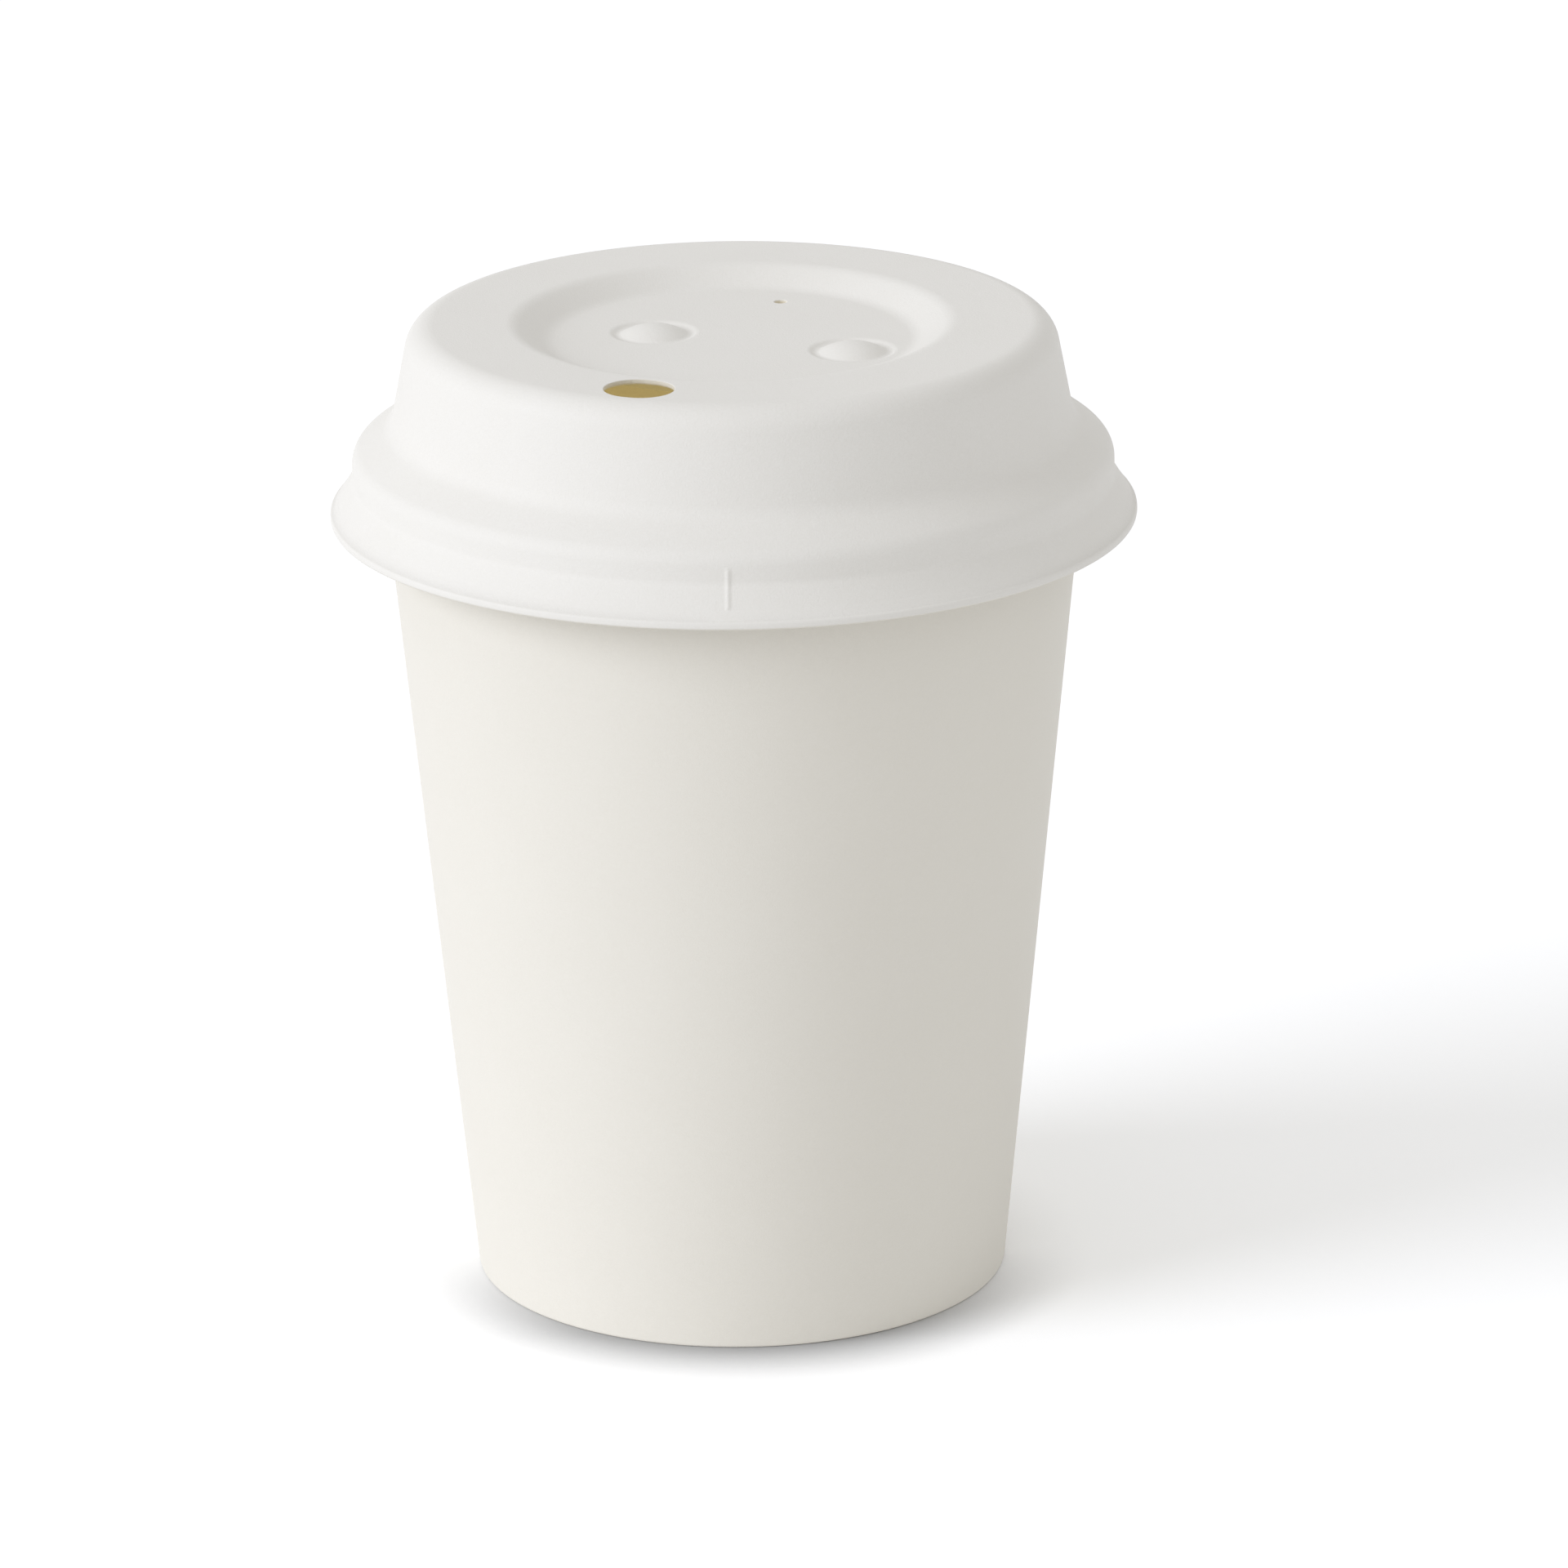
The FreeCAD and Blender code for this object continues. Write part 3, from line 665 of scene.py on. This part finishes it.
class PAPERCUP_OT_lid(bpy.types.Operator):
    """Sip lid: recess with two buttons, land with the sip hole, crown, skirt and lip"""

    bl_idname = "papercup.lid"
    bl_label = "Sip lid"

    def execute(self, context):
        s = context.scene.sip_lid_sizes
        n = lid_numbers(context.scene.paper_cup_sizes, s)
        parts = [turned_sheet("lid_outside", outside_section(s, n), s.columns)]
        for depth in (0, s.lid_wall):
            face = face_points(recess_path(s, n), depth, step=4, run=1.0)
            parts.append(turned_sheet("lid_recess", face, s.columns))
        for across in (n["right"], -n["left"]):
            for depth in (0, s.lid_wall):
                face = face_points(button_path(s, n), depth, step=4, run=1.0)
                parts.append(turned_sheet("lid_button", face, FORM_COLUMNS,
                                          (across, -s.button_shift)))
        vent = hole_section(s.vent_diameter / 2, s.vent_edge, s.vent_edge,
                            n["floor_z"], n["floor_low"])
        parts.append(turned_sheet("lid_vent", vent, VENT_COLUMNS, (0.0, n["vent_y"])))
        sip = hole_section(s.sip_depth / 2, s.sip_edge, s.sip_under, n["top_z"], n["top_low"])
        parts.append(turned_sheet("lid_sip_hole", sip, FORM_COLUMNS, (0.0, -n["sip_r"])))
        piece = join(parts, "sip_lid")
        merge_doubles()
        past_collar = 0.001
        reach = s.sip_depth / 2 + s.sip_under + COLLAR + past_collar
        widen_hole(piece, (0.0, -n["sip_r"] * MM), reach * MM,
                   (s.sip_width - s.sip_depth) / 2 * MM)
        for height in (n["top_z"], n["top_low"], n["floor_z"], n["floor_low"]):
            close_plane(piece, height)
        tidy_mesh()
        raise_nib(piece, s, n)
        finish = context.scene.paper_finish
        finish_piece(piece, "lid", "lid",
                     [fibre_material(finish), underside_material(finish)])
        for face in piece.data.polygons:
            face.material_index = INNER if is_underside_or_shaded_hole(face, n) else OUTER
        return {"FINISHED"}


def is_underside_or_shaded_hole(face, n):
    """Whether a face of the lid is on its inner side or on the wall of a hole. A hole's wall takes
    the underside's darker, warmer colour as painted shade.
    """
    upright, downwards, inwards, hardly_up = 0.3, -0.5, -0.05, 0.02
    normal, centre = face.normal, face.center
    from_axis = math.hypot(centre.x, centre.y)
    out = (normal.x * centre.x + normal.y * centre.y) / max(from_axis, TINY)
    # The walls of the sip hole and vent get the underside's darker colour: painted shade, the same
    # fibre in reality
    hole_wall_in_painted_shade = (abs(normal.z) < upright and centre.z > n["floor_low"] * MM
                 and from_axis < n["crown_r"] * MM)
    return normal.z < downwards or hole_wall_in_painted_shade or (out < inwards and normal.z < hardly_up)


def raise_nib(piece, s, n):
    """Divide the skirt where the nib is and raise it, soft at its sides and ends."""
    out = outwards(s.nib_angle - 90)
    round_skirt = Vector((-out.y, out.x, 0))
    # The field of the skirt that is divided, in millimetres, and how its faces must face
    half_field, below_corner, above_roll, facing, cuts = 1.3, 0.9, 1.0, 0.3, 5
    # Where the nib falls away: at each end in millimetres, at each side in half widths
    soft_end, foot, soft_side = 0.35, 1.25, 0.5

    def on_skirt(face):
        place = face.calc_center_median() / MM
        return (face.normal.dot(out) > facing and abs(place.dot(round_skirt)) < half_field
                and place.dot(out) > 0
                and n["corner_z"] - below_corner < place.z < n["roll_z"] + above_roll)

    select_where(piece, on_skirt, "faces")
    bpy.ops.mesh.subdivide(number_cuts=cuts)
    mesh = bmesh.from_edit_mesh(piece.data)
    for vertex in mesh.verts:
        if not vertex.select:
            continue
        place = vertex.co / MM
        side = abs(place.dot(round_skirt)) / (s.nib_width / 2)
        above = (n["roll_z"] - place.z) / soft_end
        below = (place.z - n["corner_z"]) / soft_end
        if side < foot and above > 0 and below > 0:
            rise = min(1.0, (foot - side) / soft_side) * min(1.0, above) * min(1.0, below)
            vertex.co += out * rise * rise * (3 - 2 * rise) * s.nib_height * MM
    bmesh.update_edit_mesh(piece.data)


# Materials


def add_node(tree, kind, inputs, **settings):
    """A new node. Each of its inputs gets a plain value or another node's output."""
    node = tree.nodes.new(kind)
    for name, value in settings.items():
        setattr(node, name, value)
    for key, value in inputs.items():
        if isinstance(value, bpy.types.NodeSocket):
            tree.links.new(value, node.inputs[key])
        else:
            node.inputs[key].default_value = value
    return node


def add_math(tree, operation, *values):
    """The result of a Math node."""
    node = add_node(tree, "ShaderNodeMath", dict(enumerate(values)), operation=operation)
    return node.outputs[0]


def add_range(tree, value, **ends):
    """The result of a Map Range node. Its ends are given as from_min, from_max, to_min, to_max."""
    inputs = {end.replace("_", " ").title(): given for end, given in ends.items()}
    return add_node(tree, "ShaderNodeMapRange", {"Value": value, **inputs}).outputs["Result"]


def fibre_group():
    """Node group: felted fibres as seen on board and moulded pulp, from Object coordinates."""
    name = "Felted Fibres"
    if name in bpy.data.node_groups:
        return bpy.data.node_groups[name]
    group = bpy.data.node_groups.new(name, "ShaderNodeTree")
    for label, default in (("Fibre Size", 0.0006), ("Cloud Size", 0.012)):
        socket = group.interface.new_socket(label, in_out="INPUT", socket_type="NodeSocketFloat")
        socket.default_value = default
    given = group.nodes.new("NodeGroupInput")
    place = group.nodes.new("ShaderNodeTexCoord").outputs["Object"]

    def noise(grain, detail, roughness, distortion):
        return add_node(group, "ShaderNodeTexNoise", {
            "Vector": place, "Scale": add_math(group, "DIVIDE", 1.0, given.outputs[grain]),
            "Detail": detail, "Roughness": roughness, "Distortion": distortion}).outputs["Fac"]

    strands = noise("Fibre Size", detail=3.0, roughness=0.6, distortion=2.2)
    clouds = noise("Cloud Size", detail=3.0, roughness=0.5, distortion=0.0)
    ridges = add_range(group, strands, from_min=0.32, from_max=0.68)
    cloud_height = 0.35  # beside a fibre's
    results = {"Fibres": ridges, "Clouds": clouds,
               "Height": add_math(group, "MULTIPLY_ADD", clouds, cloud_height, ridges)}
    for label in results:
        group.interface.new_socket(label, in_out="OUTPUT", socket_type="NodeSocketFloat")
    add_node(group, "NodeGroupOutput", results)
    return group


def paper_material(name, base, fibre_size, cloud_size, tone, depth, rough, gloss):
    """A paper, made once: fibres over a base colour, with a fine relief and uneven roughness."""
    if name in bpy.data.materials:
        return bpy.data.materials[name]
    material = bpy.data.materials.new(name)
    material.use_nodes = True
    tree = material.node_tree
    fibres = add_node(tree, "ShaderNodeGroup", {
        "Fibre Size": fibre_size, "Cloud Size": cloud_size},
        node_tree=fibre_group(), name="Fibres").outputs
    # Shares of the tone that red, green and blue lose, low between fibres and in a cloud
    between, in_cloud, cloud_tone = (1.0, 1.15, 1.5), (0.8, 0.9, 1.1), tone * 1.4
    low = [max(0.0, part * (1 - tone * share)) for part, share in zip(base, between)]
    cloudy = [1 - cloud_tone * share for share in in_cloud]
    fibred = add_node(tree, "ShaderNodeMix", {
        "Factor": fibres["Fibres"], "A": (*low, 1.0), "B": (*base, 1.0)}, data_type="RGBA")
    clouded = add_node(tree, "ShaderNodeMix", {
        "Factor": fibres["Clouds"], "A": fibred.outputs["Result"], "B": (*cloudy, 1.0)},
        data_type="RGBA", blend_type="MULTIPLY")
    roughness = add_range(tree, fibres["Fibres"], to_min=rough[0], to_max=rough[1])
    relief = add_node(tree, "ShaderNodeBump", {
        "Strength": 1.0, "Distance": depth, "Height": fibres["Height"]}, name="Relief")
    shader = tree.nodes["Principled BSDF"].inputs
    shader["Specular IOR Level"].default_value = gloss
    tree.links.new(clouded.outputs["Result"], shader["Base Color"])
    tree.links.new(roughness, shader["Roughness"])
    tree.links.new(relief.outputs["Normal"], shader["Normal"])
    return material


def board_material(finish):
    """Uncoated matt white board, outside of the cup."""
    return paper_material("Cup board", finish.board, fibre_size=0.0005, cloud_size=0.011,
                          tone=0.02, depth=0.000006, rough=(0.52, 0.66), gloss=0.25)


def lining_material(finish):
    """Thin satin lining on the inside of the board."""
    return paper_material("Cup lining", finish.lining, fibre_size=0.0007, cloud_size=0.014,
                          tone=0.02, depth=0.000005, rough=(0.3, 0.42), gloss=0.5)


def core_material(finish):
    """Raw cut edge of the board."""
    return paper_material("Board core", finish.board_core, fibre_size=0.00018, cloud_size=0.004,
                          tone=0.07, depth=0.00002, rough=(0.75, 0.9), gloss=0.25)


def fibre_material(finish):
    """Matt pressed plant fibre, outside of the lid."""
    return paper_material("Lid fibre", finish.fibre, fibre_size=0.0006, cloud_size=0.009,
                          tone=0.02, depth=0.000012, rough=(0.55, 0.7), gloss=0.25)


def underside_material(finish):
    """Underside of the lid, with the faint print of the forming screen."""
    material = paper_material("Lid fibre underside", finish.fibre_inside, fibre_size=0.0006,
                              cloud_size=0.009, tone=0.03, depth=0.00002, rough=(0.65, 0.8),
                              gloss=0.3)
    tree = material.node_tree
    waves_in_scale = 20  # a Wave texture's bands in 2 pi, at a scale of 1
    scale = 2 * math.pi / (waves_in_scale * finish.screen_pitch * MM)
    place = tree.nodes.new("ShaderNodeTexCoord").outputs["Object"]
    wires = [add_node(tree, "ShaderNodeTexWave", {"Vector": place, "Scale": scale},
                      bands_direction=direction).outputs["Fac"] for direction in ("X", "Y")]
    wire_height = 1.2  # beside a fibre's
    together = add_math(tree, "MULTIPLY_ADD", add_math(tree, "MAXIMUM", *wires), wire_height,
                        tree.nodes["Fibres"].outputs["Height"])
    tree.links.new(together, tree.nodes["Relief"].inputs["Height"])
    return material


# Studio


def light_path_mix(tree, seen, other):
    """A value that is one thing to the camera, mirrors and glass, and another to other light."""
    path = tree.nodes.new("ShaderNodeLightPath").outputs
    direct = add_math(tree, "MAXIMUM", path["Is Camera Ray"], path["Is Glossy Ray"])
    through = add_math(tree, "MAXIMUM", direct, path["Is Transmission Ray"])
    return add_range(tree, through, to_min=other, to_max=seen)


def floor_material(s):
    """White floor, with a contact shade that only the camera, mirrors and glass see."""
    material = bpy.data.materials.new("Studio floor")
    material.use_nodes = True
    tree = material.node_tree
    tree.nodes.remove(tree.nodes["Principled BSDF"])
    side = math.radians(s.contact_side)
    forward = add_node(tree, "ShaderNodeVectorMath", {
        0: tree.nodes.new("ShaderNodeTexCoord").outputs["Object"],
        1: (math.sin(side), -math.cos(side), 0.0)}, operation="DOT_PRODUCT").outputs["Value"]
    deepest = add_range(tree, forward, from_max=s.contact_full * MM,
                        to_min=s.contact_back, to_max=s.contact_front)
    near = add_node(tree, "ShaderNodeAmbientOcclusion", {"Distance": s.contact * MM})
    half_open = 0.5  # what a floor sees beside an upright wall
    shade = add_range(tree, near.outputs["AO"], from_min=half_open, to_min=deepest)
    seen = add_math(tree, "MULTIPLY", s.floor_seen, shade)
    matt = add_node(tree, "ShaderNodeBsdfDiffuse", {
        "Color": light_path_mix(tree, seen, s.floor_lit)})
    tree.links.new(matt.outputs["BSDF"], tree.nodes["Material Output"].inputs["Surface"])
    return material


def add_light(name, kind, strength, tint):
    """A light and its object, still at the origin."""
    light = bpy.data.lights.new(name, kind)
    light.energy = strength
    light.color = tint
    holder = bpy.data.objects.new(name, light)
    bpy.context.scene.collection.objects.link(holder)
    return light, holder


class PAPERCUP_OT_stage(bpy.types.Operator):
    """Studio: white floor, even light, one soft side light and the camera"""

    bl_idname = "papercup.stage"
    bl_label = "Studio"

    def execute(self, context):
        s = context.scene.paper_studio
        scene = context.scene
        scene.view_settings.view_transform = "Standard"
        bpy.ops.object.select_all(action="DESELECT")
        bpy.ops.mesh.primitive_plane_add(size=s.floor_size, location=(0, 0, 0))
        floor = bpy.context.object
        floor.name = "studio_floor"
        floor.data.materials.append(floor_material(s))

        world = bpy.data.worlds.new("Studio light")
        scene.world = world
        world.use_nodes = True
        sky = world.node_tree.nodes["Background"]
        sky.inputs["Color"].default_value = (1.0, 1.0, 1.0, 1.0)
        strength = light_path_mix(world.node_tree, 1.0, s.sky)
        world.node_tree.links.new(strength, sky.inputs["Strength"])

        right = outwards(s.view_side)
        away = Vector((-right.y, right.x, 0))
        upright = Vector((0, 0, 1))
        side, height = math.radians(s.lamp_side), math.radians(s.lamp_height)
        towards_lamp = ((-right * math.sin(side) - away * math.cos(side)) * math.cos(height)
                        + upright * math.sin(height))
        lamp, holder = add_light("Side light", "SUN", s.lamp, s.lamp_colour)
        lamp.angle = math.radians(s.lamp_spread)
        holder.matrix_world = (Matrix.Translation(towards_lamp)
                               @ towards_lamp.to_track_quat("Z", "Y").to_matrix().to_4x4())
        glow, holder = add_light("Light through the board", "POINT", s.glow, s.glow_colour)
        glow.shadow_soft_size = s.glow_radius * MM
        holder.location = upright * s.glow_height * MM
        holder.visible_camera = False

        tilt, roll = math.radians(s.view_height), math.radians(s.view_roll)
        ahead = away * math.cos(tilt) - upright * math.sin(tilt)
        up = away * math.sin(tilt) + upright * math.cos(tilt)
        across = right * math.cos(roll) - up * math.sin(roll)
        above = right * math.sin(roll) + up * math.cos(roll)
        target = right * s.view_across * MM + upright * s.view_up * MM
        data = bpy.data.cameras.new("Camera")
        data.lens = s.lens
        data.sensor_width = 36.0
        data.clip_start = 0.05
        data.clip_end = 20.0
        camera = bpy.data.objects.new("Camera", data)
        turn = Matrix((across, above, -ahead)).transposed().to_4x4()
        camera.matrix_world = Matrix.Translation(target - ahead * s.view_distance) @ turn
        scene.collection.objects.link(camera)
        scene.camera = camera
        return {"FINISHED"}


class PAPERCUP_PT_panel(bpy.types.Panel):
    """Lists the pieces of the cup"""

    bl_idname = "PAPERCUP_PT_panel"
    bl_label = "Paper Cup"
    bl_space_type = "VIEW_3D"
    bl_region_type = "UI"
    bl_category = "Paper Cup"

    def draw(self, context):
        column = self.layout.column()
        for operator in (PAPERCUP_OT_wall, PAPERCUP_OT_bottom, PAPERCUP_OT_lid, PAPERCUP_OT_stage):
            column.operator(operator.bl_idname)
        for group in SETTINGS:
            settings = getattr(context.scene, group)
            box = column.box()
            for name in settings.__annotations__:
                box.prop(settings, name)


CLASSES = (PaperCupSizes, SipLidSizes, PaperFinish, StudioSettings, PAPERCUP_OT_wall,
           PAPERCUP_OT_bottom, PAPERCUP_OT_lid, PAPERCUP_OT_stage, PAPERCUP_PT_panel)
SETTINGS = {"paper_cup_sizes": PaperCupSizes, "sip_lid_sizes": SipLidSizes,
            "paper_finish": PaperFinish, "paper_studio": StudioSettings}


def register():
    """Make the settings, the operators and the panel known."""
    for item in CLASSES:
        bpy.utils.register_class(item)
    for name, group in SETTINGS.items():
        setattr(bpy.types.Scene, name, PointerProperty(type=group))


def unregister():
    """Take them away again."""
    for name in SETTINGS:
        delattr(bpy.types.Scene, name)
    for item in reversed(CLASSES):
        bpy.utils.unregister_class(item)


def main():
    """Build the studio and every piece."""
    register()
    bpy.ops.papercup.stage()
    bpy.ops.papercup.wall()
    bpy.ops.papercup.bottom()
    bpy.ops.papercup.lid()


if __name__ == "__main__":
    main()
